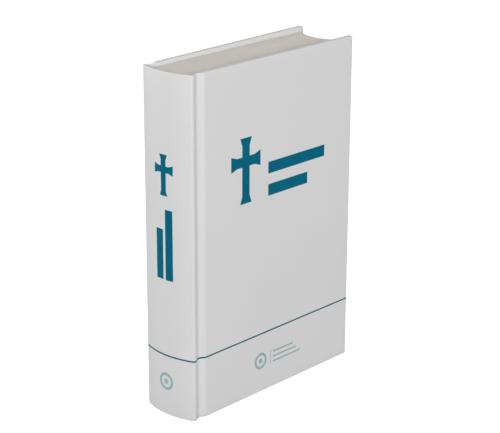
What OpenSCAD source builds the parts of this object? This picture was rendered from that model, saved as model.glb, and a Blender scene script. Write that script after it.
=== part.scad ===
// Case-bound bible with a rounded spine, French grooves and sewn sections.
// It stands on its tail edges: +Z up, spine towards -X, front cover towards -Y.

/* [Book] */
// Height of the boards, tail to head
book_h = 205; // [180:1:230]
// Width from the spine's crown to the fore-edge of the boards
book_w = 138; // [125:1:155]
// Thickness over both covers
book_t = 38; // [34:0.5:44]

/* [Case] */
// Thickness of the boards
board_t = 2.6; // [2:0.1:3]
// Thickness of the printed covering paper
paper_t = 0.3; // [0.2:0.05:0.4]
// Thickness of the card stiffener inside the spine
card_t = 1.0; // [0.8:0.1:1.2]
// How far the crown of the spine stands out from its corners
spine_round = 4; // [3:0.5:5]
// Depth of the groove pressed beside the spine
groove_d = 1.9; // [1.5:0.1:2.1]
// Width of covering paper folded round the boards' edges
turn_in_w = 15; // [12:1:18]
// How far each cover leans out at its fore-edge
lean_out = 1.85; // [0:0.05:2.5]

/* [Book block] */
// How far the boards overhang the leaves at head and tail
square_h = 2; // [2:0.5:4]
// How far the boards overhang the leaves at the fore-edge
square_f = 2.4; // [2:0.2:5]
// Hollow of the concave fore-edge
fore_hollow = 7; // [4:0.1:8]
// How much further out each half of the block lies at the fore-edge
fan_out = 1.7; // [0:0.05:1.8]
// Number of folded sections
sections = 14; // [10:1:24]
// Thickness of a single stout leaf
leaf_t = 0.2; // [0.15:0.05:0.3]
// Number of sewing stations
stations = 6; // [4:1:8]

/* [Printing] */
// Height of the thin rule above the tail
rule_z = 37.5; // [30:0.5:45]
// Thickness of the printed film
film_t = 0.08; // [0.05:0.01:0.12]

/* [Hidden] */
$fn = 96;
gap = 0.05;                      // between leaves that turn past each other
half_t = book_t / 2;
x_crown = -book_w / 2;
x_fore = book_w / 2;

// Spine: every layer is an arc about one vertical line
spine_r = (half_t * half_t + spine_round * spine_round) / (2 * spine_round);
spine_x = x_crown + spine_r;
card_r = spine_r - paper_t - card_t - 0.02;
hollow_t = 0.3;
lining_t = 0.2;
mull_t = 0.25;
glue_t = 0.3;
lining_r = card_r - hollow_t - lining_t;
mull_r = lining_r - mull_t - gap;
glue_r = mull_r - glue_t;
block_r = glue_r - 0.02;
thread_t = 0.2;
layer_a = 22.3;                  // half angle of the layers on the sections' backs
band_a = 21;                     // half angle of the head and tail bands
band_r = 0.55;
band_skirt_h = 8;
lining_inset = 2;                // how far each layer stops short of the leaves' ends
mull_inset = 9;
glue_inset = 1;
stitch_inset = 12;
slot_h = 0.8;                    // room left in the glue for each stitch
stitch_h = 0.6;

// Joints: both hinge lines stand in the grooves, just outside the covers
corner_x = x_crown + spine_round;
hinge_x = corner_x + 5;
board_x = hinge_x + 5.2;
hinge_y = half_t + 0.2;
bend_x = hinge_x - 3;            // the covering paper is stiff up to here
groove_low_x = hinge_x + 0.4;
lean_a = asin(lean_out / (x_fore - hinge_x));
function lean_at(x) = tan(lean_a) * max(0, x - hinge_x);

// Covers, measured from the middle plane outwards
board_in = half_t - paper_t - board_t;
turn_t = 0.25;
paste_t = 0.2;
paste_in = board_in - turn_t - paste_t;

// Book block
leaves_z = square_h;
leaves_h = book_h - 2 * square_h;
fly_out = paste_in - 0.15;
outer_out = fly_out - leaf_t - gap;
split_y = 8;
middle_out = 0.5;
leaf_x = x_fore - square_f;
fore_half = fly_out + fan_out;
fore_r = (fore_half * fore_half + fore_hollow * fore_hollow) / (2 * fore_hollow);
fore_x = leaf_x - fore_hollow + fore_r;
shoulder_out = 2;                // how far the outer sections bend over the boards
core_x = hinge_x - 0.03;

// Printed ornament on the front cover and the spine
print_z = 122.5;
cross_x = -22.7;
cross_size = [24, 39, 6];        // width, height, stem
bar_x = -4;
bar_h = 7;
bar_lengths = [34, 49];          // lower, upper
bar_step = 13.5;
spine_cross_z = 134;
spine_cross_size = [14, 24, 3.8];
spine_bar_z = 84;
spine_bar_w = 5.4;
spine_bar_lengths = [42, 30];    // right, left
spine_bar_side = 0.9;
imprint_z = 20;
imprint_x = -9.5;
imprint_r = 5.2;
spine_imprint_z = 21;
spine_imprint_r = 5.4;
rule_t = 0.9;

cover_white = [0.83, 0.83, 0.83];
board_grey = [0.62, 0.58, 0.52];
page_cream = [0.88, 0.85, 0.78];
end_white = [0.93, 0.92, 0.9];
gauze = [0.9, 0.88, 0.8];
kraft = [0.66, 0.52, 0.36];
glue_clear = [0.93, 0.9, 0.75];
ink_teal = [0.02, 0.42, 0.52];
ink_grey = [0.42, 0.58, 0.62];

// Curved wall of the spine, from radius r outwards by t
module arc_wall(r, t, z, h, half_a) {
    translate([spine_x, 0, z])
        rotate([0, 0, 180 - half_a])
            rotate_extrude(angle = 2 * half_a)
                translate([r, 0])
                    square([t, h]);
}

// Draws a piece of the front side (side = 1) or its mirror on the back (side = -1)
module on_side(side) {
    if (side > 0) children();
    else mirror([0, 1, 0]) children();
}

// The same, leaning out with the cover about its hinge line
module on_cover(side) {
    on_side(side)
        translate([hinge_x, -hinge_y, 0])
            rotate([0, 0, -lean_a])
                translate([-hinge_x, hinge_y, 0])
                    children();
}

// Box between two x, two distances out from the middle plane and two z
module slab(x0, x1, in, out, z0, z1) {
    translate([x0, -out, z0])
        cube([x1 - x0, out - in, z1 - z0]);
}

// Points moved sideways by d, for bent strips of even thickness
function step_dir(p, i) =
    let (a = p[max(i - 1, 0)], b = p[min(i + 1, len(p) - 1)], d = b - a) d / norm(d);
function beside(p, d) = [for (i = [0 : len(p) - 1])
    let (n = step_dir(p, i)) p[i] + d * [-n[1], n[0]]];
module strip(p, t, z, h) {
    inner = beside(p, t);
    n = len(p);
    translate([0, 0, z])
        linear_extrude(h)
            polygon([for (i = [0 : n - 1]) p[i], for (i = [n - 1 : -1 : 0]) inner[i]]);
}

// The spine's corner is a small round that meets the spine's arc without a break
corner_r = 1.1;
corner_a = asin((half_t - corner_r) / (spine_r - corner_r));
corner_mid = [spine_x - (spine_r - corner_r) * cos(corner_a), corner_r - half_t];
corner_end_a = 100;
corner_steps = 8;
function corner_path() = [for (i = [0 : corner_steps])
    let (a = 180 + corner_a + i * (corner_end_a - corner_a) / corner_steps)
        corner_mid + corner_r * [cos(a), sin(a)]];

// Covering paper across the groove: a smooth dip between the corner and the board
groove_steps = 14;
groove_start_x = corner_mid[0] + corner_r * sin(corner_end_a - 90);
function dip(x) = x < groove_low_x
    ? 0.5 - 0.5 * cos(180 * (x - groove_start_x) / (groove_low_x - groove_start_x))
    : 0.5 + 0.5 * cos(180 * (x - groove_low_x) / (board_x - groove_low_x));
function groove_path(x0, x1, steps) = [for (i = [0 : steps])
    let (x = x0 + (x1 - x0) * i / steps)
        [x, groove_d * dip(x) - half_t - lean_at(x)]];

// Covering paper of the spine: groove, corner, arc, corner, groove, folded in at both ends
arc_steps = 32;
function arc_path(r, half_a) = [for (i = [0 : arc_steps])
    let (a = 180 - half_a + 2 * half_a * i / arc_steps)
        [spine_x + r * cos(a), r * sin(a)]];
function edge_path() = concat(corner_path(), groove_path(groove_start_x + 0.2, bend_x, 3));
function spine_path() =
    let (edge = edge_path(), n = len(edge), arc = arc_path(spine_r, corner_a))
        concat([for (i = [n - 1 : -1 : 0]) [edge[i][0], -edge[i][1]]],
               [for (i = [1 : arc_steps - 1]) arc[i]],
               edge);
module arc_band(r0, r1, z, h) {
    inner = arc_path(r0, layer_a);
    outer = arc_path(r1, layer_a);
    translate([0, 0, z])
        linear_extrude(h)
            polygon(concat(inner, [for (i = [arc_steps : -1 : 0]) outer[i]]));
}
module spine_cover() {
    fold_in = card_r - 0.2;
    color(cover_white) {
        strip(spine_path(), paper_t, 0, book_h);
        for (z = [0, book_h - paper_t])
            arc_band(fold_in, spine_r - paper_t / 2, z, paper_t);
        for (z = [0, book_h - turn_in_w])
            arc_band(fold_in, card_r - 0.02, z, turn_in_w);
    }
}

module spine_card() {
    color(board_grey)
        arc_wall(card_r, card_t, paper_t, book_h - 2 * paper_t, layer_a);
}

module spine_lining() {
    color(kraft)
        arc_wall(lining_r, lining_t, leaves_z + lining_inset, leaves_h - 2 * lining_inset, layer_a);
}

module mull() {
    color(gauze)
        arc_wall(mull_r, mull_t, leaves_z + mull_inset, leaves_h - 2 * mull_inset, layer_a);
}

function station_z(i) =
    leaves_z + stitch_inset + i * (leaves_h - 2 * stitch_inset) / (stations - 1);

module spine_glue() {
    color(glue_clear)
        difference() {
            arc_wall(glue_r, glue_t, leaves_z + glue_inset, leaves_h - 2 * glue_inset, layer_a - 0.3);
            for (i = [0 : stations - 1])
                arc_wall(glue_r - 1, thread_t + 1.03, station_z(i) - slot_h / 2, slot_h, layer_a + 1);
        }
}

module sewing_thread() {
    color(end_white)
        for (i = [0 : stations - 1])
            arc_wall(glue_r, thread_t, station_z(i) - stitch_h / 2, stitch_h, layer_a - 1);
}

// One boundary between two sections, from the leaves (t = 0) to the back (t = 1)
function back_x(y) = spine_x - sqrt(block_r * block_r - y * y);
function flare(y, t) = y * (1 + shoulder_out / fly_out * pow(abs(y) / fly_out, 3) * t * t);
function fold_edge(y) = [for (t = [0 : 0.25 : 1])
    [core_x + t * (back_x(flare(y, 1)) - core_x), flare(y, t)]];
module section_folds() {
    pitch = 2 * fly_out / sections;
    n = len(fold_edge(0));
    color(page_cream)
        for (k = [0 : sections - 1]) {
            low = fold_edge(-fly_out + k * pitch + gap / 2);
            high = fold_edge(-fly_out + (k + 1) * pitch - gap / 2);
            translate([0, 0, leaves_z])
                linear_extrude(leaves_h)
                    polygon([for (i = [0 : n - 1]) low[i], for (i = [n - 1 : -1 : 0]) high[i]]);
        }
}

// Bead over the sections' ends with a cloth skirt down their backs
module band(head) {
    bead_z = head ? leaves_z + leaves_h + band_r + gap : leaves_z - band_r - gap;
    skirt_z = head ? bead_z - band_skirt_h : bead_z;
    translate([spine_x, 0, bead_z])
        rotate([0, 0, 180 - band_a])
            rotate_extrude(angle = 2 * band_a)
                translate([mull_r, 0])
                    circle(band_r);
    arc_wall(mull_r, mull_t, skirt_z, band_skirt_h, band_a);
}
module headband() {
    color(end_white) band(true);
}
module tailband() {
    color(end_white) band(false);
}

// Binder's board inside each cover
module board(side) {
    color(board_grey)
        on_cover(side)
            slab(board_x, x_fore - paper_t, board_in, board_in + board_t, paper_t, book_h - paper_t);
}
module front_board() {
    board(1);
}
module back_board() {
    board(-1);
}

// Covering paper round a board, turned in over its three free edges
module cover_paper(side) {
    inset = turn_in_w + paper_t;
    color(cover_white)
        on_cover(side)
            difference() {
                slab(board_x, x_fore, board_in - turn_t, half_t, 0, book_h);
                slab(board_x - 1, x_fore - paper_t, board_in, board_in + board_t,
                     paper_t, book_h - paper_t);
                slab(board_x - 1, x_fore - inset, board_in - 1, board_in + 1, inset, book_h - inset);
            }
}
module front_cover_paper() {
    cover_paper(1);
}
module back_cover_paper() {
    cover_paper(-1);
}

// The gauze runs on from the sections' backs on to each board
flange_w = 24;
flange_z = 18;
module mull_flange(side) {
    color(gauze)
        on_cover(side)
            slab(board_x, board_x + flange_w, board_in - turn_t, board_in, flange_z, book_h - flange_z);
}
module front_mull_flange() {
    mull_flange(1);
}
module back_mull_flange() {
    mull_flange(-1);
}

// Endpaper glued to the board, down over the turned-in edges and the gauze
module pastedown(side) {
    inset = turn_in_w + paper_t;
    reveal = 3.5;
    color(end_white)
        on_cover(side)
            difference() {
                union() {
                    slab(board_x, x_fore - reveal, paste_in, paste_in + paste_t,
                         reveal, book_h - reveal);
                    slab(board_x, x_fore - inset, paste_in + gap, board_in, inset, book_h - inset);
                }
                slab(board_x - 1, board_x + flange_w, board_in - turn_t, board_in + 1,
                     flange_z, book_h - flange_z);
            }
}
module front_pastedown() {
    pastedown(1);
}
module back_pastedown() {
    pastedown(-1);
}

// Covering paper across a groove, which bends as the cover opens
module joint_strip(side) {
    color(cover_white)
        on_side(side)
            strip(groove_path(bend_x + gap, board_x - gap, groove_steps), paper_t, 0, book_h);
}
module front_joint() {
    joint_strip(1);
}
module back_joint() {
    joint_strip(-1);
}

// Fold of the endpaper with the gauze behind it, from the shoulder to the board
hinge_steps = 10;
strip_sag = 0.4;
function inner_path() = [for (i = [0 : hinge_steps])
    let (s = i / hinge_steps, x = hinge_x - 1 + (board_x - gap - hinge_x + 1) * s)
        [x, -(paste_in + paste_t + strip_sag * (0.5 + 0.5 * cos(180 * s)) + lean_at(x))]];
module inner_hinge(side) {
    color(end_white)
        on_side(side)
            strip(inner_path(), paste_t, leaves_z + 1, leaves_h - 2);
}
module front_inner_hinge() {
    inner_hinge(1);
}
module back_inner_hinge() {
    inner_hinge(-1);
}

// The leaves lie less tightly towards the fore-edge, so the block is thicker there
function fanned(x, out) =
    out * (1 + fan_out / fly_out * (x - hinge_x) / (leaf_x - hinge_x));

// Leaves between two distances out from the middle plane, cut to the hollow fore-edge
module leaves(side, in, out) {
    uncut_x = leaf_x + 1;
    on_side(side)
        difference() {
            translate([0, 0, leaves_z])
                linear_extrude(leaves_h)
                    polygon([
                        [hinge_x, -out], [uncut_x, -fanned(uncut_x, out)],
                        [uncut_x, -fanned(uncut_x, in)], [hinge_x, -in]
                    ]);
            translate([fore_x, 0, leaves_z - 1])
                cylinder(h = leaves_h + 2, r = fore_r);
            translate([leaf_x, -half_t, leaves_z - 1])
                cube([2, book_t, leaves_h + 2]);
        }
}
module front_flyleaf() {
    color(end_white) leaves(1, fly_out - leaf_t, fly_out);
}
module back_flyleaf() {
    color(end_white) leaves(-1, fly_out - leaf_t, fly_out);
}
module front_outer_leaves() {
    color(page_cream) leaves(1, split_y, outer_out);
}
module back_outer_leaves() {
    color(page_cream) leaves(-1, split_y, outer_out);
}
module front_inner_leaves() {
    color(page_cream) leaves(1, middle_out, split_y - gap);
}
module back_inner_leaves() {
    color(page_cream) leaves(-1, middle_out, split_y - gap);
}
module front_middle_leaf() {
    color(page_cream) leaves(1, gap, middle_out - gap);
}
module back_middle_leaf() {
    color(page_cream) leaves(-1, gap, middle_out - gap);
}

// Plain Latin cross with flared ends, its foot at the origin
module cross_shape(size) {
    w = size[0];
    h = size[1];
    stem = size[2];
    arm_y = h * 0.64;
    half = stem / 2;
    foot = half + stem * 0.28;   // the ends flare out to this half width
    neck = stem * 0.8;           // and start to flare this far from the end
    polygon([
        [-foot, 0], [foot, 0], [half, neck], [half, arm_y - half],
        [w / 2 - neck, arm_y - half], [w / 2, arm_y - foot],
        [w / 2, arm_y + foot], [w / 2 - neck, arm_y + half],
        [half, arm_y + half], [half, h - neck], [foot, h],
        [-foot, h], [-half, h - neck], [-half, arm_y + half],
        [-w / 2 + neck, arm_y + half], [-w / 2, arm_y + foot],
        [-w / 2, arm_y - foot], [-w / 2 + neck, arm_y - half],
        [-half, arm_y - half], [-half, neck]
    ]);
}

// Film on the front cover, drawn as seen from the front
module front_film() {
    on_cover(1)
        translate([0, -half_t, 0])
            rotate([90, 0, 0])
                linear_extrude(film_t)
                    children();
}

// Film on the spine, cut from a thin wall by a flat shape seen from the spine
module spine_film(half_a = 22) {
    intersection() {
        arc_wall(spine_r, film_t, 0, book_h, half_a);
        translate([x_crown - 1, 0, 0])
            rotate([90, 0, -90])
                translate([0, 0, -2 * spine_round])
                    linear_extrude(4 * spine_round)
                        children();
    }
}

module front_cross() {
    color(ink_teal)
        front_film()
            translate([cross_x, print_z])
                cross_shape(cross_size);
}

module front_title_bars() {
    color(ink_teal)
        front_film()
            for (i = [0, 1])
                translate([bar_x, print_z + bar_step * i])
                    square([bar_lengths[i], bar_h]);
}

module front_rule() {
    color(ink_teal)
        front_film()
            translate([board_x + 0.2, rule_z - rule_t / 2])
                square([x_fore - board_x - 0.2, rule_t]);
}
module back_rule() {
    mirror([0, 1, 0]) front_rule();
}
module spine_rule() {
    color(ink_teal)
        spine_film()
            translate([-half_t, rule_z - rule_t / 2])
                square([book_t, rule_t]);
}

// Small mark in the publisher's place: a ring with a dot
module ring_mark(r) {
    difference() {
        circle(r);
        circle(r * 0.68);
    }
    circle(r * 0.3);
}

// Beside the ring on the cover: an upright rule and three short lines
module front_imprint() {
    side_rule = [0.4, 9.2];
    line_x = 1.2;
    line_t = 1;
    line_step = 3.2;
    line_w = 24;
    color(ink_grey)
        front_film()
            translate([0, imprint_z]) {
                translate([imprint_x, 0])
                    ring_mark(imprint_r);
                translate([line_x - 2.2, -side_rule[1] / 2])
                    square(side_rule);
                for (i = [0 : 2])
                    translate([line_x, -4 + line_step * i])
                        square([line_w - 3 * i, line_t]);
            }
}
module spine_imprint() {
    color(ink_grey)
        spine_film()
            translate([0, spine_imprint_z])
                ring_mark(spine_imprint_r);
}

module spine_cross() {
    color(ink_teal)
        spine_film()
            translate([0, spine_cross_z])
                cross_shape(spine_cross_size);
}
module spine_title_bars() {
    color(ink_teal)
        spine_film() {
            translate([spine_bar_side, spine_bar_z])
                square([spine_bar_w, spine_bar_lengths[0]]);
            translate([-spine_bar_side - spine_bar_w, spine_bar_z])
                square([spine_bar_w, spine_bar_lengths[1]]);
        }
}

spine_cover();
spine_card();
spine_lining();
mull();
spine_glue();
section_folds();
sewing_thread();
headband();
tailband();
front_board();
front_cover_paper();
front_pastedown();
front_mull_flange();
back_board();
back_cover_paper();
back_pastedown();
back_mull_flange();
front_joint();
back_joint();
front_inner_hinge();
back_inner_hinge();
front_flyleaf();
back_flyleaf();
front_outer_leaves();
back_outer_leaves();
front_inner_leaves();
back_inner_leaves();
front_middle_leaf();
back_middle_leaf();
front_cross();
front_title_bars();
front_rule();
front_imprint();
spine_cross();
spine_title_bars();
spine_rule();
spine_imprint();
back_rule();
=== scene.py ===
import math

import bmesh
import bpy
import numpy as np
from mathutils import Matrix, Vector


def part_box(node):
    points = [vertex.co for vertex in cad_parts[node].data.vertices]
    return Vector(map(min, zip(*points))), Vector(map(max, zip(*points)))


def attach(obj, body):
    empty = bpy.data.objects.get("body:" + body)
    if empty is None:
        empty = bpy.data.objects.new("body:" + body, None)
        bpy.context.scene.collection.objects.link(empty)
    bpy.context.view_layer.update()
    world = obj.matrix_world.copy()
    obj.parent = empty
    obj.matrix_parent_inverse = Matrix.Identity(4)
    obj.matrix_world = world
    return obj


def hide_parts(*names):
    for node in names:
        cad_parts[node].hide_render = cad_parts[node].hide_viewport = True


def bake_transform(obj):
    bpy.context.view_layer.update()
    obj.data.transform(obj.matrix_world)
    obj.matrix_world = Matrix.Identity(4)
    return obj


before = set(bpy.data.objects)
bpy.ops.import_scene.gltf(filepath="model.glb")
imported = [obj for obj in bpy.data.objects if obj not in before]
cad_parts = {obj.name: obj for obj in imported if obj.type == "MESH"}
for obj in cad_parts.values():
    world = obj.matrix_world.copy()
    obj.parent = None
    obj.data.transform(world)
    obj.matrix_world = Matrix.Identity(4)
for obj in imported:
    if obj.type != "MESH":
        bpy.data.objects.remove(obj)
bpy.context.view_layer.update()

# All the shapes below are in millimetres, in the row frame, and become metres when a mesh is made.
MM = 0.001


def box_mm(node):
    lo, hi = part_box(node)
    return np.array(lo) / MM, np.array(hi) / MM


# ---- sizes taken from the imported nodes
SPINE_LO, SPINE_HI = box_mm("spine_cover")
_, GROOVE_HI = box_mm("front_joint")
FLY_LO, FLY_HI = box_mm("front_flyleaf")
STRIP_LO, STRIP_HI = box_mm("front_inner_hinge")

BOOK_H = SPINE_HI[2]
HALF_T = SPINE_HI[1]
BOARD_X = GROOVE_HI[0] + 0.05
FORE_X = -SPINE_LO[0]
CROWN_X = SPINE_LO[0]
BEND_X = SPINE_HI[0]
HINGE_X = FLY_LO[0]
LEAF_Z0 = FLY_LO[2]
LEAF_Z1 = FLY_HI[2]
LEAF_X = FLY_HI[0]

# ---- sizes that no box gives, as in part.scad
CASE_IN = HALF_T - 3.15
PASTE_IN = CASE_IN - 0.2
REVEAL = 3.5
FLY_OUT = PASTE_IN - 0.15
FLY_IN = FLY_OUT - 0.2
OUTER_Y = (8.005, FLY_IN - 0.01)
INNER_Y = (0.505, 7.995)
MIDDLE_Y = (0.005, 0.495)
FAN_OUT = 1.7
SAG = 0.7
PAPER_T = 0.3
LEAN_OUT = 1.85
HINGE_Y = HALF_T + 0.2
TURN_W = 15.3
SPINE_ROUND = 4.0
SPINE_R = (HALF_T**2 + SPINE_ROUND**2) / (2 * SPINE_ROUND)
SPINE_X = CROWN_X + SPINE_R
CORNER_R = 1.1
CORNER_A = math.asin((HALF_T - CORNER_R) / (SPINE_R - CORNER_R))
CORNER_END = math.radians(100)
CORNER_MID = (SPINE_X - (SPINE_R - CORNER_R) * math.cos(CORNER_A), HALF_T - CORNER_R)
GROOVE_D = 1.9
GROOVE_LOW = HINGE_X + 0.4
GROOVE_START = CORNER_MID[0] + CORNER_R * math.sin(CORNER_END - math.pi / 2)
FORE_HOLLOW = 7.0
FORE_R = ((FLY_OUT + FAN_OUT) ** 2 + FORE_HOLLOW**2) / (2 * FORE_HOLLOW)
FORE_MID = LEAF_X - FORE_HOLLOW + FORE_R
BLOCK_R = 44.685
SHOULDER = 2.0
SECTIONS = 14
BAND_R = 45.005
BAND_HALF_A = 20.6
BEAD_R = 0.55

# ---- printing, as in part.scad: places from the middle, widths and heights
INK_T = 0.045
INK_SUNK = 0.03
RULE_Z = 37.5
RULE_T = 0.9
PRINT_Z = 122.5
CROSS_X = -22.7
CROSS_SIZE = (24, 39, 6)
BAR_X = -4
BAR_H = 7
BAR_STEP = 13.5
BAR_LENGTHS = (34, 49)
SPINE_CROSS_Z = 134
SPINE_CROSS_SIZE = (14, 24, 3.8)
SPINE_BAR_Z = 84
SPINE_BAR_W = 5.4
SPINE_BAR_SIDE = 0.9
SPINE_BAR_LENGTHS = (42, 30)
IMPRINT_Z = 20
IMPRINT_X = -9.5
IMPRINT_R = 5.2
SPINE_IMPRINT_Z = 21
SPINE_IMPRINT_R = 5.4

# ---- where the covering paper and the leaves turn, one narrow zone for each joint
CASE_TURN = (BEND_X, BEND_X + 1.0, BEND_X + 2.0)
CASE_OPEN = (BEND_X + 2.0, BEND_X + 6.5)
LEAF_TURN = (HINGE_X, HINGE_X + 0.8, HINGE_X + 1.6)
FLY_OPEN = (HINGE_X + 1.6, HINGE_X + 8.0)
LEAN = math.asin(LEAN_OUT / (FORE_X - HINGE_X))
SIDES = (("front", 1), ("back", -1))

# ---- colours
WHITE = (1, 1, 1)
COVER = (0.62, 0.62, 0.622)
PAGE = (0.595, 0.56, 0.52)
ENDPAPER = (0.72, 0.71, 0.69)
TEAL = (0.0, 0.112, 0.182)
RULE_TEAL = (0.0, 0.09, 0.112)
GREY_TEAL = (0.27, 0.39, 0.4)
BAND_CLOTH = (0.68, 0.66, 0.62)
GAUZE = (0.66, 0.61, 0.5)
THREAD = (0.7, 0.68, 0.62)
BOARD_TONES = ((0.17, 0.15, 0.125), (0.27, 0.24, 0.2), (0.36, 0.325, 0.275))
KRAFT_TONES = ((0.2, 0.115, 0.05), (0.3, 0.18, 0.085), (0.37, 0.235, 0.12))
GLUE_TONES = ((0.5, 0.44, 0.29), (0.68, 0.62, 0.45))

# ---- light: each lamp's name, its azimuth and elevation, its size in metres and its power
LAMPS = (
    ("front_key", 5, 16, 0.58, 27.8),
    ("corner_key", -58, 14, 0.58, 30.6),
    ("spine_side", -122, 30, 1.7, 24.2),
    ("fore_edge_fill", 82, 22, 1.7, 13.9),
    ("overhead", -47, 80, 2.5, 10.4),
    ("back_fill", 197, 10, 1.7, 20.0),
)
LAMP_FAR = 2.5
DOME = 0.25
FLOOR_GLOW = 0.95
FLOOR_PALE = 0.3

# ---- camera, in metres and degrees
CAM_AT = (-0.6494, -0.5964, 0.4131)
CAM_AZ, CAM_EL, CAM_ROLL = -47.354, 18.514, 0.16
CAM_LENS = 113.74
CAM_SHIFT = (0.0091, -0.0441)


# ---------------------------------------------------------------- meshes
def add_mesh(name, verts, faces, material, sharp=40):
    """A mesh from points in mm, with its rest place kept as an attribute for the materials."""
    mesh = bpy.data.meshes.new(name)
    co = np.asarray(verts, float) * MM
    mesh.from_pydata(co.tolist(), [], faces)
    bm = bmesh.new()
    bm.from_mesh(mesh)
    bmesh.ops.recalc_face_normals(bm, faces=bm.faces)
    bm.to_mesh(mesh)
    bm.free()
    mesh.polygons.foreach_set("use_smooth", [True] * len(mesh.polygons))
    mesh.set_sharp_from_angle(angle=math.radians(sharp))
    rest = mesh.attributes.new("rest", "FLOAT_VECTOR", "POINT")
    flat = np.zeros(len(mesh.vertices) * 3, np.float32)
    mesh.vertices.foreach_get("co", flat)
    rest.data.foreach_set("vector", flat)
    mesh.materials.append(material)
    obj = bpy.data.objects.new(name, mesh)
    bpy.context.scene.collection.objects.link(obj)
    return obj


def loft(rings, caps=True):
    """Quads between closed rings that all have the same number of points."""
    count = len(rings[0])
    verts = np.concatenate([np.asarray(r, float) for r in rings])
    faces = []
    for i in range(len(rings) - 1):
        a, b = i * count, (i + 1) * count
        for j in range(count):
            k = (j + 1) % count
            faces.append((a + j, a + k, b + k, b + j))
    if caps:
        last = (len(rings) - 1) * count
        faces.append(tuple(range(count - 1, -1, -1)))
        faces.append(tuple(range(last, last + count)))
    return verts, faces


def mirrored(points, side):
    """Front points (y negative) for side 1, their mirror image for side -1."""
    out = np.array(points, float)
    out[:, 1] *= side
    return out


def leaned(points):
    """Points of the front cover turned out about its hinge line, as the covers stand when closed."""
    out = np.array(points, float)
    dx, dy = out[:, 0] - HINGE_X, out[:, 1] + HINGE_Y
    out[:, 0] = HINGE_X + dx * math.cos(LEAN) + dy * math.sin(LEAN)
    out[:, 1] = -HINGE_Y - dx * math.sin(LEAN) + dy * math.cos(LEAN)
    return out


def lean_at(x):
    return math.tan(LEAN) * max(0, x - HINGE_X)


def smooth(t):
    t = min(1, max(0, t))
    return t * t * (3 - 2 * t)


def arc(cx, cy, r, a0, a1, steps):
    return [
        (cx + r * math.cos(math.radians(a)), cy + r * math.sin(math.radians(a)))
        for a in np.linspace(a0, a1, steps + 1)
    ]


# ---------------------------------------------------------------- case
def dip(x):
    if x < GROOVE_LOW:
        return 0.5 - 0.5 * math.cos(math.pi * (x - GROOVE_START) / (GROOVE_LOW - GROOVE_START))
    return 0.5 + 0.5 * math.cos(math.pi * (x - GROOVE_LOW) / (BOARD_X - GROOVE_LOW))


def groove_station(x):
    """Point on the outside of the front groove and the direction into the book."""
    step = 0.01
    y = -HALF_T + GROOVE_D * dip(x) - lean_at(x)
    slope = GROOVE_D * (dip(x + step) - dip(x - step)) / (2 * step) - math.tan(LEAN) * (x > HINGE_X)
    if x + step >= BOARD_X:
        slope = -math.tan(LEAN)
    length = math.hypot(slope, 1)
    return x, y, -slope / length, 1 / length


# Depth of the wrapped case, from its outside in: paper folded on paper, over a board, over the card
FOLDED = 0.6
CASE_DEPTH = HALF_T - CASE_IN
SPINE_DEPTH = 1.52
# Its head and tail edges, the angle over which the card's depth eases, and rows up the paper
EDGE_R = 0.25
EASE_A = 1.4
EXTRA_ROWS = (50, 85, 120, 155)


def wrap_ring(x, y, nx, ny, depth):
    """Outline of the covering paper folded over head and tail, at one place along the case."""
    r = min(EDGE_R, depth / 2)
    t = min(PAPER_T, depth / 2 - 0.004)
    top = BOOK_H
    mid = [TURN_W, *EXTRA_ROWS, top - TURN_W]
    out = [(depth, TURN_W)]
    out += arc(depth - r, r, r, 0, -90, 5)
    out += arc(r, r, r, -90, -180, 5)
    out += [(0, z) for z in mid]
    out += arc(r, top - r, r, 180, 90, 5)
    out += arc(depth - r, top - r, r, 90, 0, 5)
    out += [(depth, top - TURN_W), (depth - t, top - TURN_W)]
    out += arc(depth - r, top - r, r - t, 0, 90, 5)
    out += arc(r, top - r, r - t, 90, 180, 5)
    out += [(t, z) for z in reversed(mid)]
    out += arc(r, r, r - t, 180, 270, 5)
    out += arc(depth - r, r, r - t, 270, 360, 5)
    out += [(depth - t, TURN_W)]
    return [(x + nx * d, y + ny * d, z) for d, z in out]


def spine_stations():
    """Stations round the front half of the spine, from its crown to where the paper starts to bend."""
    full = math.degrees(CORNER_A)
    out = []
    for a in [*np.linspace(0, full - EASE_A, 22), full - 0.9, full - 0.5, full - 0.2, full]:
        c, s = math.cos(math.radians(a)), math.sin(math.radians(a))
        depth = FOLDED + (SPINE_DEPTH - FOLDED) * smooth((full - a) / EASE_A)
        out.append((SPINE_X - SPINE_R * c, -SPINE_R * s, c, s, depth))
    for a in np.linspace(full, math.degrees(CORNER_END), 14)[1:]:
        c, s = math.cos(math.radians(a)), math.sin(math.radians(a))
        out.append((CORNER_MID[0] - CORNER_R * c, -CORNER_MID[1] - CORNER_R * s, c, s, FOLDED))
    for x in np.linspace(GROOVE_START + 0.2, BEND_X, 6):
        out.append((*groove_station(x), FOLDED))
    return out


def mirror_station(s):
    return (s[0], -s[1], s[2], -s[3], *s[4:])


def whole_spine():
    half = spine_stations()
    return [mirror_station(s) for s in half[:0:-1]] + half


def make_spine_cover(mat):
    verts, faces = loft([wrap_ring(*s) for s in whole_spine()])
    obj = add_mesh("spine_covering_paper", verts, faces, mat)
    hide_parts("spine_cover")
    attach(obj, "spine")


def case_station(x):
    """Station of the groove: its inner side runs evenly from the fold to the board's inner face."""
    turned_over = 2.0
    clear = 0.05
    _, y, nx, _ = groove_station(x)
    nx += (math.sin(LEAN) - nx) * smooth((x - BEND_X) / turned_over)
    ny = math.sqrt(1 - nx * nx)
    if x < GROOVE_LOW:
        return x, y, nx, ny, FOLDED
    _, low_y, _, _ = groove_station(GROOVE_LOW)
    start = low_y + FOLDED
    share = smooth((x - GROOVE_LOW) / (BOARD_X - GROOVE_LOW))
    inner = start + (-CASE_IN - clear - start) * share
    return x, y, nx, ny, max(FOLDED, inner - y - lean_at(x))


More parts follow.
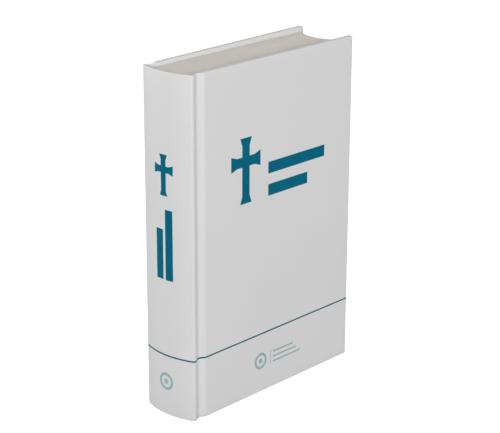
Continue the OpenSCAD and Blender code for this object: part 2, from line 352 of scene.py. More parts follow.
def case_zones(name):
    """Zones of the groove, as first and last x, steps, the two bodies and the turning stretch."""
    a, b, c = CASE_TURN
    return [
        ("turn_inner", a, b, 14, "spine", name + "_inner", (a, b)),
        ("turn_outer", b, c, 14, name + "_inner", name + "_outer", (b, c)),
        ("open", c, BOARD_X, 40, name + "_outer", name + "_cover", CASE_OPEN),
    ]


def blend_x(obj, body_a, body_b, stretch):
    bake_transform(obj)


def make_grooves(mat, ink):
    for name, side in SIDES:
        for zone, x0, x1, steps, body_a, body_b, stretch in case_zones(name):
            stations = [case_station(x) for x in np.linspace(x0, x1, steps + 1)]
            verts, faces = loft([wrap_ring(*s) for s in stations])
            obj = add_mesh(f"{name}_groove_{zone}", mirrored(verts, side), faces, mat)
            if zone == "open":
                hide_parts(name + "_joint")
            blend_x(obj, body_a, body_b, stretch)
            path = [(s[0], s[1], s[2], s[3]) for s in stations]
            rule = ink_ribbon(f"{name}_groove_rule_{zone}", path, side, ink)
            blend_x(rule, body_a, body_b, stretch)


def ink_ribbon(name, path, side, ink, lean=False):
    """The thin printed rule along a path of points with directions into the book."""
    low, high = RULE_Z - RULE_T / 2, RULE_Z + RULE_T / 2
    outline = ((-INK_SUNK, low), (INK_T, low), (INK_T, high), (-INK_SUNK, high))
    rings = [[(x - nx * h, y - ny * h, z) for h, z in outline] for x, y, nx, ny in path]
    verts, faces = loft(rings)
    verts = leaned(verts) if lean else verts
    obj = add_mesh(name, mirrored(verts, side), faces, ink)
    return obj


def u_loop(inset, y):
    """Tail, fore-edge and head of a board's outline, set in by inset, from the spine side round."""
    r = 0.3
    x1, z0, z1 = FORE_X - inset - r, inset, BOOK_H - inset
    out = [(x, z0) for x in np.linspace(BOARD_X, x1, 12)[:-1]]
    out += arc(x1, z0 + r, r, -90, 0, 5)
    out += [(x1 + r, z) for z in np.linspace(z0 + r, z1 - r, 12)[1:-1]]
    out += arc(x1, z1 - r, r, 0, 90, 5)
    out += [(x, z1) for x in np.linspace(x1, BOARD_X, 12)[1:]]
    return [(x, y, z) for x, z in out]


def folded_case(outer, inner):
    """Closed sheet between two surfaces, each a list of (inset, depth) from the cover's outside."""
    loops = [u_loop(i, -HALF_T + d) for i, d in outer] + [u_loop(i, -HALF_T + d) for i, d in inner]
    n = len(loops[0])
    m = len(outer)
    verts = np.concatenate([np.array(p) for p in loops])
    faces = []
    for s in range(m - 1):
        for j in range(n - 1):
            a, b = s * n + j, (s + 1) * n + j
            faces.append((a, a + 1, b + 1, b))
            faces.append((a + m * n, b + m * n, b + 1 + m * n, a + 1 + m * n))
        for j in (0, n - 1):
            a, b = s * n + j, (s + 1) * n + j
            faces.append((a, b, b + m * n, a + m * n))
    last = (m - 1) * n
    for j in range(n - 1):
        faces.append((last + j, last + j + 1, last + j + 1 + m * n, last + j + m * n))
    faces.append(tuple(range(n)))
    faces.append(tuple(m * n + j for j in range(n - 1, -1, -1)))
    faces.append((0, n - 1, m * n + n - 1, m * n))
    return verts, faces


def wrapped_section(t, last):
    """Section through the covering paper at depth t, from the cover's face to its turned-in edge."""
    d, r, flat, lap = CASE_DEPTH, EDGE_R, 4, 0.02
    out = [(TURN_W, t), (flat, t)]
    out += [(r + x, r + y) for x, y in arc(0, 0, r - t, 270, 180, 6)]
    out += [(r + x, d - r + y) for x, y in arc(0, 0, r - t, 180, 90, 6)]
    return out + [(flat, d - t), (TURN_W - lap, d - t), (TURN_W, last)]


def pasted_section():
    """Face of the pasted endpaper, which steps down past the turned-in edge, and its underside."""
    step = 0.16
    top = HALF_T - PASTE_IN
    slope = ((1.6, 1), (0.9, 0.95), (0.5, 0.6), (0.1, 0.15))
    low = [(TURN_W + w, top - step * drop) for w, drop in slope]
    high = [(TURN_W - 0.5, top), (REVEAL + 0.06, top), (REVEAL, top - 0.05)]
    under = [(i, CASE_DEPTH - 0.24) for i, _ in low] + [(i, CASE_DEPTH + 0.01) for i, _ in high]
    return low + high, under


def make_covers(mat, paste_mat):
    outer = wrapped_section(0, CASE_DEPTH - 0.06)
    inner = wrapped_section(PAPER_T, CASE_DEPTH - PAPER_T)
    for name, side in SIDES:
        verts, faces = folded_case(outer, inner)
        obj = add_mesh(name + "_covering_paper", mirrored(leaned(verts), side), faces, mat)
        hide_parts(name + "_cover_paper")
        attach(obj, name + "_cover")
        verts, faces = folded_case(*pasted_section())
        obj = add_mesh(name + "_pasted_endpaper", mirrored(leaned(verts), side), faces, paste_mat)
        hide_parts(name + "_pastedown")
        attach(obj, name + "_cover")


# ---------------------------------------------------------------- printing
def from_lowest(ring):
    """The same round of corners, started at its lowest number, so that every run numbers alike."""
    first = ring.index(min(ring))
    return tuple(ring[first:] + ring[:first])


def flat_film(name, shapes, ink, place, body, node, slot, cuts=()):
    """Printed shapes, each a flat polygon (u, v), as thick as the ink and laid on a surface."""
    bm = bmesh.new()
    for shape in shapes:
        bm.faces.new([bm.verts.new((u, v, 0)) for u, v in shape])
    bmesh.ops.remove_doubles(bm, verts=bm.verts, dist=1e-4)
    for u in cuts:
        geom = list(bm.verts) + list(bm.edges) + list(bm.faces)
        bmesh.ops.bisect_plane(bm, geom=geom, plane_co=(u, 0, 0), plane_no=(1, 0, 0), dist=1e-5)
    raised = bmesh.ops.extrude_face_region(bm, geom=list(bm.faces))
    for v in raised["geom"]:
        if isinstance(v, bmesh.types.BMVert):
            v.co.z = 1
    corners = sorted(bm.verts, key=lambda v: [round(c, 3) for c in v.co])
    number = {v: i for i, v in enumerate(corners)}
    verts = [place(v.co.x, v.co.y, INK_T if v.co.z > 0.5 else -INK_SUNK) for v in corners]
    faces = sorted(from_lowest([number[v] for v in f.verts]) for f in bm.faces)
    bm.free()
    obj = add_mesh(name, verts, faces, ink, sharp=25)
    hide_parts(node)
    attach(obj, body)


def on_front(u, v, h):
    return tuple(leaned([(u, -HALF_T - h, v)])[0])


def on_spine(u, v, h):
    y = -u
    x = SPINE_X - math.sqrt(SPINE_R**2 - y * y)
    nx, ny = (x - SPINE_X) / SPINE_R, y / SPINE_R
    return (x + nx * h, y + ny * h, v)


def rect(u, v, w, h):
    return [(u, v), (u + w, v), (u + w, v + h), (u, v + h)]


def cross_faces(x, z, w, h, stem):
    """A Latin cross with flared ends, as flat faces that share their edges."""
    half = stem / 2
    foot = half + stem * 0.28
    neck = stem * 0.8
    arm = h * 0.64
    low, high = arm - half, arm + half
    core = [
        [(-foot, 0), (foot, 0), (half, neck), (-half, neck)],
        [(-half, neck), (half, neck), (half, low), (-half, low)],
        [(-half, low), (half, low), (half, high), (-half, high)],
        [(-half, high), (half, high), (half, h - neck), (-half, h - neck)],
        [(-half, h - neck), (half, h - neck), (foot, h), (-foot, h)],
    ]
    for s in (-1, 1):
        end = s * w / 2
        near = end - s * neck
        core.append([(s * half, low), (near, low), (near, high), (s * half, high)])
        core.append([(near, low), (end, arm - foot), (end, arm + foot), (near, high)])
    return [[(x + u, z + v) for u, v in face] for face in core]


def ring_faces(x, z, r):
    inner, dot, steps = r * 0.68, r * 0.3, 40

    def at(q, i):
        a = 2 * math.pi * i / steps
        return x + q * math.cos(a), z + q * math.sin(a)

    out = [[at(inner, i), at(r, i), at(r, i + 1), at(inner, i + 1)] for i in range(steps)]
    out.append([at(dot, i) for i in range(steps)])
    return out


def print_front(teal, grey):
    on = (on_front, "front_cover")
    cross = cross_faces(CROSS_X, PRINT_Z, *CROSS_SIZE)
    flat_film("printed_front_cross", cross, teal, *on, "front_cross", "ink_teal")
    bars = [rect(BAR_X, PRINT_Z + BAR_STEP * i, BAR_LENGTHS[i], BAR_H) for i in (1, 0)]
    flat_film("printed_front_bars", bars, teal, *on, "front_title_bars", "ink_teal")
    side_w, side_h = 0.4, 9.2
    line_x, line_w, line_t, line_step = 1.2, 24, 1, 3.2
    marks = ring_faces(IMPRINT_X, IMPRINT_Z, IMPRINT_R)
    marks.append(rect(line_x - 2.2, IMPRINT_Z - side_h / 2, side_w, side_h))
    for i in range(3):
        marks.append(rect(line_x, IMPRINT_Z - 4 + line_step * i, line_w - 3 * i, line_t))
    flat_film("printed_front_imprint", marks, grey, *on, "front_imprint", "ink_grey")


def print_spine(teal, grey):
    on = (on_spine, "spine")
    cuts = list(np.arange(-9, 9.1, 0.75))
    cross = cross_faces(0, SPINE_CROSS_Z, *SPINE_CROSS_SIZE)
    flat_film("printed_spine_cross", cross, teal, *on, "spine_cross", "ink_teal", cuts)
    right, left = SPINE_BAR_LENGTHS
    bars = [
        rect(SPINE_BAR_SIDE, SPINE_BAR_Z, SPINE_BAR_W, right),
        rect(-SPINE_BAR_SIDE - SPINE_BAR_W, SPINE_BAR_Z, SPINE_BAR_W, left),
    ]
    flat_film("printed_spine_bars", bars, teal, *on, "spine_title_bars", "ink_teal", cuts)
    ring = ring_faces(0, SPINE_IMPRINT_Z, SPINE_IMPRINT_R)
    flat_film("printed_spine_imprint", ring, grey, *on, "spine_imprint", "ink_grey", cuts)


def cover_rule_path():
    """Across the front cover, round its fore-edge and on to the pasted endpaper."""
    d, r = CASE_DEPTH, EDGE_R
    turns = [(math.cos(a), math.sin(a)) for a in np.radians(np.linspace(0, 90, 7))]
    path = [(x, -HALF_T, 0, 1) for x in np.linspace(BOARD_X, FORE_X - r, 8)]
    path += [(FORE_X - r + r * s, -HALF_T + r - r * c, -s, c) for c, s in turns[1:]]
    path += [(FORE_X - r + r * c, -HALF_T + d - r + r * s, -c, -s) for c, s in turns]
    path.append((FORE_X - REVEAL - 0.4, -CASE_IN, 0, -1))
    return path


def print_rules(ink):
    rule = ink_ribbon("printed_spine_rule", [s[:4] for s in whole_spine()], 1, ink)
    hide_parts("spine_rule")
    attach(rule, "spine")
    for name, side in SIDES:
        rule = ink_ribbon(f"printed_{name}_rule", cover_rule_path(), side, ink, lean=True)
        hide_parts(name + "_rule")
        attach(rule, name + "_cover")


# ---------------------------------------------------------------- book block
def fanned(x, y):
    """The leaves lie less tightly towards the fore-edge, so the block is thicker there."""
    return y * (1 + FAN_OUT / FLY_OUT * max(0, x - HINGE_X) / (LEAF_X - HINGE_X))


def fore_x(y):
    x = LEAF_X
    for _ in range(4):
        x = FORE_MID - math.sqrt(FORE_R**2 - fanned(x, y) ** 2)
    return x


def sag(x):
    """The leaves of a standing book hang a little lower towards the fore-edge."""
    return SAG * max(0, x - HINGE_X) / (LEAF_X - HINGE_X)


# Leaves show on the cut faces as small bundles, with a fine groove between two of them
PER_SECTION = 8
PITCH = 2 * FLY_OUT / SECTIONS
GROOVE_BETWEEN = 0.03
THINNEST = 0.08
HEAD_WAVE = 0.02
FORE_WAVE = 0.03
STEPS_OUT = 26
STEPS_UP = 34


def make_laminae():
    """Edges of the small bundles of leaves that show on the cut faces, and how far each stands out."""
    rng = np.random.default_rng(11)
    out = []
    for k in range(SECTIONS):
        widths = rng.uniform(0.6, 1.4, PER_SECTION)
        edges = -FLY_OUT + PITCH * (k + np.concatenate([[0], np.cumsum(widths) / widths.sum()]))
        for i in range(PER_SECTION):
            head = rng.normal(0, 0.018)
            fore = rng.normal(0, 0.05)
            phase = rng.uniform(0, 6.28)
            out.append((edges[i], edges[i + 1], head, fore, phase))
    return out


LAMINAE = make_laminae()


def edge_rows(y0, y1):
    """Rows across a slab of leaves: y, how far its head and fore-edge stand out, and a wave's phase."""
    rows = []
    for a, b, head, fore, phase in LAMINAE:
        lo, hi = max(a, y0), min(b, y1)
        if hi - lo < THINNEST:
            continue
        soft = min(0.05, (hi - lo) * 0.25)
        rows.append((lo, head - GROOVE_BETWEEN, fore - GROOVE_BETWEEN, phase))
        rows.append((lo + soft, head, fore, phase))
        rows.append((hi - soft, head, fore, phase))
        rows.append((hi, head - GROOVE_BETWEEN, fore - GROOVE_BETWEEN, phase))
    out = [rows[0]]
    for r in rows[1:]:
        if r[0] - out[-1][0] > 1e-4:
            out.append(r)
    out[0] = (y0, *out[0][1:])
    out[-1] = (y1, *out[-1][1:])
    return out


def wave(x, phase, size):
    return size * (math.sin(x * 0.11 + phase) + 0.5 * math.sin(x * 0.31 + 2.3 * phase))


def slab_ring(xs, row, cut):
    """Outline of a slab of leaves at one row: along the tail, up the fore-edge, back along the head."""
    y, head, fore, phase = row
    places = list(xs)
    end = fore_x(y)
    if cut:
        places += list(np.linspace(xs[-1], end, STEPS_OUT + 1)[1:])
    tail_out = [LEAF_Z0 - sag(x) - head - wave(x, phase, HEAD_WAVE) for x in places]
    head_out = [LEAF_Z1 - sag(x) + head + wave(x, phase + 1, HEAD_WAVE) for x in places]
    tail_row = [(x, fanned(x, y), z) for x, z in zip(places, tail_out)]
    head_row = [(x, fanned(x, y), z) for x, z in zip(places, head_out)]
    edge = []
    if cut:
        last = fanned(end, y)
        tail_row[-1] = (end + fore + wave(LEAF_Z0, phase, FORE_WAVE), last, tail_row[-1][2])
        head_row[-1] = (end + fore + wave(LEAF_Z1, phase, FORE_WAVE), last, head_row[-1][2])
        heights = np.linspace(LEAF_Z0, LEAF_Z1, STEPS_UP + 1)[1:-1]
        edge = [(end + fore + wave(z, phase, FORE_WAVE), last, z - sag(end)) for z in heights]
    return tail_row + edge + head_row[::-1]


def leaf_slab(rows, xs, side, cut):
    """A slab of leaves. xs are its first places from the fold, and with cut it reaches the fore-edge."""
    rings = [slab_ring(xs, row, cut) for row in rows]
    verts, faces = loft(rings, caps=False)
    n, m = len(rings[0]), len(rings)
    count = len(xs) + (STEPS_OUT if cut else 0)
    for base in (0, (m - 1) * n):
        for i in range(count - 2 if cut else count - 1):
            faces.append((base + i, base + i + 1, base + n - 2 - i, base + n - 1 - i))
        if cut:
            faces.append(tuple(base + j for j in range(count - 2, n - count + 2)))
    verts[:, 1] *= -1
    return mirrored(verts, side), faces


def plain_rows(y0, y1):
    """Rows across one thick sheet, whose cut edges are eased."""
    soft, phase = 0.04, 0.5
    rows = ((y0, -soft), (y0 + soft, 0), (y1 - soft, 0), (y1, -soft))
    return [(y, out, out, phase) for y, out in rows]


def signed_rows(y0, y1, side):
    """Rows of the laminae on one side of the middle plane, as distances out from it."""
    if side > 0:
        return [(-y, *rest) for y, *rest in reversed(edge_rows(-y1, -y0))]
    return edge_rows(y0, y1)


def make_leaves(pages, endpaper):
    """Groups of leaves. Those further out reach across more than one joint zone, so they have gutter
    pieces.
    """
    a, b, c = LEAF_TURN
    zone_a = (np.linspace(a, b, 19), (a, b))
    zone_b = (np.linspace(b, c, 19), (b, c))
    zone_f = (np.linspace(*FLY_OPEN, 29), FLY_OPEN)

    def piece(name, rows, side, zone, bodies, look, node=None):
        xs, stretch = zone
        mat, slot = look
        obj = add_mesh(name, *leaf_slab(rows, xs, side, cut=bool(node)), mat)
        if node:
            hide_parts(node)
        blend_x(obj, *bodies, stretch)

    text, end = (pages, "pages"), (endpaper, "endpaper")
    for name, side in SIDES:
        first = ("spine", name + "_inner")
        second = (name + "_inner", name + "_outer")
        third = (name + "_outer", name + "_fly")
        fold = ("spine", name + "_middle")
        rows = signed_rows(*INNER_Y, side)
        piece(name + "_leaves_inner", rows, side, zone_a, first, text, name + "_inner_leaves")
        rows = signed_rows(*OUTER_Y, side)
        piece(name + "_leaves_outer_gutter", rows, side, zone_a, first, text)
        piece(name + "_leaves_outer", rows, side, zone_b, second, text, name + "_outer_leaves")
        rows = signed_rows(*MIDDLE_Y, side)
        piece(name + "_leaves_middle", rows, side, zone_a, fold, text, name + "_middle_leaf")
        rows = plain_rows(FLY_IN, FLY_OUT)
        piece(name + "_flyleaf_gutter_inner", rows, side, zone_a, first, end)
        piece(name + "_flyleaf_gutter_outer", rows, side, zone_b, second, end)
        piece(name + "_flyleaf_sheet", rows, side, zone_f, third, end, name + "_flyleaf")


def flare(y, t):
    return y * (1 + SHOULDER / FLY_OUT * (abs(y) / FLY_OUT) ** 3 * t * t)


def back_x(y):
    return SPINE_X - math.sqrt(BLOCK_R**2 - y * y)


def make_sections(pages):
    """Folded backs of the sections: each is a rounded fold, with its leaves' edges at head and tail."""
    core = HINGE_X - 0.03
    apart = 0.02
    fold_depth = 0.55
    ts = [0, 0.12, 0.3, 0.48, 0.66, 0.82, 0.93, 1]
    all_verts, all_faces, base = [], [], 0
    for k in range(SECTIONS):
        lo, hi = -FLY_OUT + k * PITCH + apart, -FLY_OUT + (k + 1) * PITCH - apart
        rings = []
        for y, head, _, phase in edge_rows(lo, hi):
            off = (2 * y - lo - hi) / (hi - lo)
            end = back_x(flare(y, 1)) + fold_depth * (1 - math.sqrt(max(0, 1 - off * off)))
            row = [(core + t * (end - core), flare(y, t)) for t in ts]
            tail = [(x, yy, LEAF_Z0 - head - wave(x, phase, HEAD_WAVE)) for x, yy in row]
            top = [(x, yy, LEAF_Z1 + head + wave(x, phase + 1, HEAD_WAVE)) for x, yy in row]
            rings.append(tail + top[::-1])
        verts, faces = loft(rings)
        all_verts.append(verts)
        all_faces += [tuple(i + base for i in f) for f in faces]
        base += len(verts)
    obj = add_mesh("sewn_sections", np.concatenate(all_verts), all_faces, pages)
    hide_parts("section_folds")
    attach(obj, "spine")


def make_inner_hinges(endpaper):
    (x0, _, z0), (x1, _, z1) = STRIP_LO, STRIP_HI
    t, strip_sag = 0.2, 0.4
    e = t * 0.3
    for name, side in SIDES:
        rings = []
        for s in np.linspace(0, 1, 33):
            x = x0 + (x1 - x0) * s
            y = -(CASE_IN + strip_sag * (0.5 + 0.5 * math.cos(math.pi * s)) + lean_at(x))
            ring = [(y, z0 + e), (y + e, z0), (y + t - e, z0), (y + t, z0 + e)]
            ring += [(y + t, z1 - e), (y + t - e, z1), (y + e, z1), (y, z1 - e)]
            rings.append([(x, yy, z) for yy, z in ring])
        verts, faces = loft(rings)
        obj = add_mesh(name + "_inner_hinge_fold", mirrored(verts, side), faces, endpaper)
        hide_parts(name + "_inner_hinge")
        blend_x(obj, name + "_outer", name + "_cover", CASE_OPEN)


def wound_bead(bead_z):
    """Thread wound round a core along the sections' ends: each turn stands out a little."""
    wraps, per_wrap, round_steps = 58, 6, 14
    rings = []
    for i in range(wraps * per_wrap + 1):
        a = math.radians(-BAND_HALF_A + 2 * BAND_HALF_A * i / (wraps * per_wrap))
        turn = (i % per_wrap) / per_wrap
        r = BEAD_R * (0.86 + 0.14 * math.sin(math.pi * turn) ** 0.6)
        ring = []
        for j in range(round_steps):
            b = 2 * math.pi * j / round_steps
            q = BAND_R + r * math.cos(b)
            ring.append((SPINE_X - q * math.cos(a), q * math.sin(a), bead_z + r * math.sin(b)))
        rings.append(ring)
    return loft(rings)


def band_skirt(z0, z1):
    thick, steps = 0.22, 60
    outline = ((BAND_R, z0), (BAND_R + thick, z0), (BAND_R + thick, z1), (BAND_R, z1))
    rings = []
    for i in range(steps + 1):
        a = math.radians(-BAND_HALF_A + 2 * BAND_HALF_A * i / steps)
        rings.append([(SPINE_X - q * math.cos(a), q * math.sin(a), z) for q, z in outline])
    return loft(rings)


def make_bands(band_mat):
    """Head and tail bands: thread wound on a core, on a woven skirt glued to the backs."""
    for name in ("headband", "tailband"):
        lo, hi = box_mm(name)
        at_head = name == "headband"
        bead_z = hi[2] - BEAD_R if at_head else lo[2] + BEAD_R
        obj = add_mesh(name + "_wound_bead", *wound_bead(bead_z), band_mat, sharp=60)
        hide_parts(name)
        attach(obj, "spine")
        skirt = band_skirt(lo[2], bead_z) if at_head else band_skirt(bead_z, hi[2])
        obj = add_mesh(name + "_skirt", *skirt, band_mat)
        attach(obj, "spine")


# ---------------------------------------------------------------- materials
class Nodes:
    """Short way to build a material's nodes."""

    def __init__(self, name):
        self.mat = bpy.data.materials.new(name)
        self.mat.use_nodes = True
        self.tree = self.mat.node_tree
        self.tree.nodes.clear()
        self.out = self.tree.nodes.new("ShaderNodeOutputMaterial")
        self.bsdf = self.tree.nodes.new("ShaderNodeBsdfPrincipled")
        self.tree.links.new(self.bsdf.outputs[0], self.out.inputs[0])

    def node(self, kind, **values):
        made = self.tree.nodes.new(kind)
        for key, value in values.items():
            setattr(made, key, value)
        return made

    def link(self, a, b):
        self.tree.links.new(a, b)

    def rest(self):
        """Where the point is at rest, from the mesh's own attribute."""
        return self.node("ShaderNodeAttribute", attribute_name="rest").outputs["Vector"]

    def object(self):
        return self.node("ShaderNodeTexCoord").outputs["Object"]

    def stretched(self, place, scale):
        m = self.node("ShaderNodeMapping")
        m.inputs["Scale"].default_value = scale
        self.link(place, m.inputs["Vector"])
        return m.outputs[0]

    def noise(self, place, scale, detail=3.0, rough=0.5):
        n = self.node("ShaderNodeTexNoise")
        n.inputs["Scale"].default_value = scale
        n.inputs["Detail"].default_value = detail
        n.inputs["Roughness"].default_value = rough
        self.link(place, n.inputs["Vector"])
        return n.outputs["Fac"]

    def ramp(self, fac, stops):
        r = self.node("ShaderNodeValToRGB")
        stops = list(stops)
        while len(r.color_ramp.elements) < len(stops):
            r.color_ramp.elements.new(0.5)
        for e, (at, colour) in zip(r.color_ramp.elements, stops):
            e.position = at
            e.color = (*colour, 1)
        self.link(fac, r.inputs[0])
        return r.outputs[0]

    def math(self, op, a, b):
        m = self.node("ShaderNodeMath", operation=op)
        for socket, value in zip(m.inputs, (a, b)):
            if isinstance(value, (int, float)):
                socket.default_value = value
            else:
                self.link(value, socket)
        return m.outputs[0]

    def span(self, fac, lo, hi):
        m = self.node("ShaderNodeMapRange")
        m.inputs["To Min"].default_value = lo
        m.inputs["To Max"].default_value = hi
        m.inputs["From Min"].default_value = 0.3
        m.inputs["From Max"].default_value = 0.7
        self.link(fac, m.inputs["Value"])
        return m.outputs[0]

    def bump(self, height, strength, distance):
        b = self.node("ShaderNodeBump")
        b.inputs["Strength"].default_value = strength
        b.inputs["Distance"].default_value = distance
        self.link(height, b.inputs["Height"])
        self.link(b.outputs[0], self.bsdf.inputs["Normal"])

    def set(self, **values):
        for key, value in values.items():
            self.bsdf.inputs[key.replace("_", " ")].default_value = value


def shade(colour, by):
    return tuple(min(1.0, c * by) for c in colour)


def paper(name, colour, rough, spread, mottle, fibre, bump):
    """Smooth paper: faint cloudiness, fine fibres and a slight unevenness of gloss."""
    n = Nodes(name)
    at = n.rest()
    cloud = n.noise(at, mottle, 4)
    grain = n.noise(at, fibre, 2, 0.6)
    both = n.math("ADD", n.math("MULTIPLY", cloud, 0.7), n.math("MULTIPLY", grain, 0.3))
    colours = [(0.3, shade(colour, 1 - spread)), (0.5, colour), (0.7, shade(colour, 1 + spread))]
    n.link(n.ramp(both, colours), n.bsdf.inputs["Base Color"])
    n.link(n.span(cloud, rough - 0.04, rough + 0.04), n.bsdf.inputs["Roughness"])
    n.bump(grain, bump, 0.00005)
    return n


def make_cover_paper():
    n = paper("satin_cover_paper", COVER, rough=0.46, spread=0.012, mottle=22, fibre=3000, bump=0.08)
    n.set(Specular_IOR_Level=0.5)
    return n.mat


def make_endpaper():
    n = paper("smooth_endpaper", ENDPAPER, rough=0.7, spread=0.015, mottle=30, fibre=2200, bump=0.12)
    return n.mat


def make_pages():
    """Text paper: on the cut faces the leaves show as fine lines of slightly different tone."""
    n = Nodes("text_paper")
    at = n.rest()
    fine = n.noise(n.stretched(at, (30, 11000, 30)), 1.0, 3, 0.7)
    bundle = n.noise(n.stretched(at, (12, 2400, 12)), 1.0, 2, 0.6)
    cloud = n.noise(at, 60, 3)
    lines = n.math("ADD", n.math("MULTIPLY", fine, 0.5), n.math("MULTIPLY", bundle, 0.35))
    lines = n.math("ADD", lines, n.math("MULTIPLY", cloud, 0.15))
    stops = [(0.32, shade(PAGE, 0.92)), (0.5, PAGE), (0.66, shade(PAGE, 1.05))]
    n.link(n.ramp(lines, stops), n.bsdf.inputs["Base Color"])
    n.link(n.span(cloud, 0.78, 0.9), n.bsdf.inputs["Roughness"])
    n.set(Specular_IOR_Level=0.25)
    n.bump(lines, 0.35, 0.0001)
    return n.mat


def make_ink(name, colour):
    n = Nodes(name)
    at = n.rest()
    cloud = n.noise(at, 180, 4, 0.6)
    speck = n.noise(at, 5200, 2, 0.7)
    both = n.math("ADD", n.math("MULTIPLY", cloud, 0.55), n.math("MULTIPLY", speck, 0.45))
    stops = [(0.3, shade(colour, 0.86)), (0.5, colour), (0.72, shade(colour, 1.2))]
    n.link(n.ramp(both, stops), n.bsdf.inputs["Base Color"])
    n.link(n.span(cloud, 0.56, 0.66), n.bsdf.inputs["Roughness"])
    n.set(Specular_IOR_Level=0.05)
    n.bump(speck, 0.06, 0.00004)
    return n.mat


def make_board():
    n = Nodes("grey_binders_board")
    at = n.object()
    flake = n.noise(at, 900, 4, 0.7)
    layer = n.noise(n.stretched(at, (200, 9000, 200)), 1.0, 3, 0.6)
    both = n.math("ADD", n.math("MULTIPLY", flake, 0.6), n.math("MULTIPLY", layer, 0.4))
    n.link(n.ramp(both, zip((0.3, 0.5, 0.7), BOARD_TONES)), n.bsdf.inputs["Base Color"])
    n.link(n.span(flake, 0.8, 0.95), n.bsdf.inputs["Roughness"])
    n.bump(both, 0.5, 0.0002)
    return n.mat


def make_kraft():
    n = Nodes("kraft_lining")
    at = n.object()
    fibre = n.noise(n.stretched(at, (900, 900, 260)), 1.0, 4, 0.65)
    cloud = n.noise(at, 90, 3)
    both = n.math("ADD", n.math("MULTIPLY", fibre, 0.65), n.math("MULTIPLY", cloud, 0.35))
    n.link(n.ramp(both, zip((0.3, 0.5, 0.7), KRAFT_TONES)), n.bsdf.inputs["Base Color"])
    n.link(n.span(cloud, 0.7, 0.85), n.bsdf.inputs["Roughness"])
    n.bump(fibre, 0.35, 0.0001)
    return n.mat


def woven(name, colour, threads, gap, own_mesh=False):
    """Plain weave: two sets of threads that pass over and under."""
    n = Nodes(name)
    at = n.rest() if own_mesh else n.object()
    waves = []
    for axis in ("Z", "Y"):
        w = n.node("ShaderNodeTexWave", bands_direction=axis, wave_profile="SIN")
        w.inputs["Scale"].default_value = threads
        w.inputs["Distortion"].default_value = 0.6
        w.inputs["Detail"].default_value = 1.0
        n.link(at, w.inputs["Vector"])
        waves.append(w.outputs["Fac"])
    height = n.math("MAXIMUM", *waves)
    fuzz = n.noise(at, 2500, 3, 0.7)
    both = n.math("ADD", n.math("MULTIPLY", height, 0.75), n.math("MULTIPLY", fuzz, 0.25))
    stops = [(0.25, shade(colour, gap)), (0.6, colour), (0.9, shade(colour, 1.06))]
    n.link(n.ramp(both, stops), n.bsdf.inputs["Base Color"])
    n.link(n.span(fuzz, 0.75, 0.9), n.bsdf.inputs["Roughness"])
    n.bump(both, 0.6, 0.00015)
    return n.mat


def make_glue():
    n = Nodes("dried_glue")
    at = n.object()
    flow = n.noise(n.stretched(at, (120, 500, 90)), 1.0, 4, 0.55)
    n.link(n.ramp(flow, zip((0.3, 0.7), GLUE_TONES)), n.bsdf.inputs["Base Color"])
    n.link(n.span(flow, 0.22, 0.45), n.bsdf.inputs["Roughness"])
    n.bump(flow, 0.5, 0.0003)
    return n.mat


def dress_nodes(mats):
    """The pieces inside the case keep their CAD shape and get a material each."""
    for node, key in (
        ("spine_card", "board"),
        ("front_board", "board"),
        ("back_board", "board"),
        ("spine_lining", "kraft"),
        ("mull", "gauze"),
        ("front_mull_flange", "gauze"),
        ("back_mull_flange", "gauze"),
        ("spine_glue", "glue"),
        ("sewing_thread", "thread"),
    ):
        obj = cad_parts[node]
        obj.data.materials.clear()
        obj.data.materials.append(mats[key])


# ---------------------------------------------------------------- stage
def make_stage():
    n = Nodes("pale_floor")
    at = n.object()
    cloud = n.noise(at, 3, 3)
    stops = [(0.3, shade(WHITE, FLOOR_PALE - 0.01)), (0.7, shade(WHITE, FLOOR_PALE + 0.01))]
    n.link(n.ramp(cloud, stops), n.bsdf.inputs["Base Color"])
    n.set(Roughness=0.9, Specular_IOR_Level=0.1, Emission_Color=(*WHITE, 1))
    seen = n.math("MULTIPLY", n.node("ShaderNodeLightPath").outputs["Is Camera Ray"], FLOOR_GLOW)
    n.link(seen, n.bsdf.inputs["Emission Strength"])
    half = 8.0
    corners = [(-half, -half, 0), (half, -half, 0), (half, half, 0), (-half, half, 0)]
    mesh = bpy.data.meshes.new("floor")
    mesh.from_pydata(corners, [], [(0, 1, 2, 3)])
    mesh.materials.append(n.mat)
    floor = bpy.data.objects.new("floor", mesh)
    bpy.context.scene.collection.objects.link(floor)


def make_world():
    world = bpy.data.worlds.new("studio")
    bpy.context.scene.world = world
    world.use_nodes = True
    tree = world.node_tree
    tree.nodes.clear()
    out = tree.nodes.new("ShaderNodeOutputWorld")
    lit = tree.nodes.new("ShaderNodeBackground")
    seen = tree.nodes.new("ShaderNodeBackground")
    pick = tree.nodes.new("ShaderNodeMixShader")
    path = tree.nodes.new("ShaderNodeLightPath")
    lit.inputs["Color"].default_value = (*WHITE, 1)
    lit.inputs["Strength"].default_value = DOME
    seen.inputs["Color"].default_value = (*WHITE, 1)
    seen.inputs["Strength"].default_value = 1.0
    tree.links.new(path.outputs["Is Camera Ray"], pick.inputs[0])
    tree.links.new(lit.outputs[0], pick.inputs[1])
    tree.links.new(seen.outputs[0], pick.inputs[2])
    tree.links.new(pick.outputs[0], out.inputs[0])


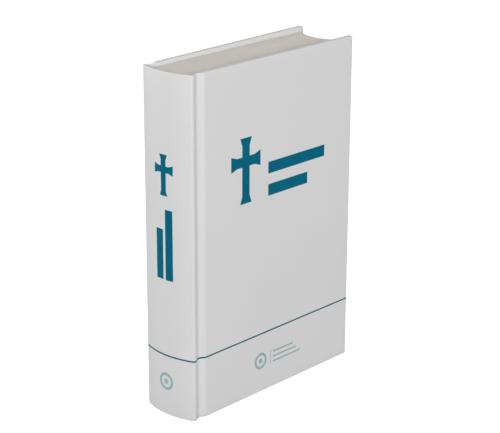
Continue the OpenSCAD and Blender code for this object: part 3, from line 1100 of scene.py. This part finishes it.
def add_area(name, azimuth, elevation, size, power):
    """A square soft light that looks at the middle of the book."""
    a, e = math.radians(azimuth), math.radians(elevation)
    back = Vector((math.sin(a) * math.cos(e), -math.cos(a) * math.cos(e), math.sin(e)))
    data = bpy.data.lights.new(name, "AREA")
    data.shape = "SQUARE"
    data.size = size
    data.energy = power
    lamp = bpy.data.objects.new(name, data)
    lamp.location = Vector((0, 0, BOOK_H * MM / 2)) + back * LAMP_FAR
    lamp.rotation_euler = (-back).to_track_quat("-Z", "Y").to_euler()
    bpy.context.scene.collection.objects.link(lamp)


def make_camera():
    data = bpy.data.cameras.new("camera")
    data.lens = CAM_LENS
    data.sensor_width = 36
    data.shift_x = CAM_SHIFT[0]
    data.shift_y = CAM_SHIFT[1]
    data.clip_start, data.clip_end = 0.05, 50
    cam = bpy.data.objects.new("camera", data)
    turn = Matrix.Rotation(math.radians(CAM_AZ), 4, "Z")
    tilt = Matrix.Rotation(math.radians(90 - CAM_EL), 4, "X")
    roll = Matrix.Rotation(math.radians(CAM_ROLL), 4, "Z")
    cam.matrix_world = Matrix.Translation(CAM_AT) @ turn @ tilt @ roll
    bpy.context.scene.collection.objects.link(cam)
    bpy.context.scene.camera = cam


bpy.context.scene.view_settings.view_transform = "Standard"

cover_mat = make_cover_paper()
page_mat = make_pages()
end_mat = make_endpaper()
teal_mat = make_ink("teal_ink", TEAL)
rule_mat = make_ink("teal_rule_ink", RULE_TEAL)
grey_mat = make_ink("grey_teal_ink", GREY_TEAL)
band_mat = woven("white_band_cloth", BAND_CLOTH, threads=900, gap=0.7, own_mesh=True)
inside = {
    "board": make_board(),
    "kraft": make_kraft(),
    "gauze": woven("stiffened_gauze", GAUZE, threads=450, gap=0.35),
    "glue": make_glue(),
    "thread": woven("sewing_thread_cotton", THREAD, threads=1500, gap=0.75),
}
dress_nodes(inside)
make_spine_cover(cover_mat)
make_grooves(cover_mat, rule_mat)
make_covers(cover_mat, end_mat)
print_front(teal_mat, grey_mat)
print_spine(teal_mat, grey_mat)
print_rules(rule_mat)
make_leaves(page_mat, end_mat)
make_sections(page_mat)
make_inner_hinges(end_mat)
make_bands(band_mat)

make_stage()
make_world()
for lamp in LAMPS:
    add_area(*lamp)
make_camera()
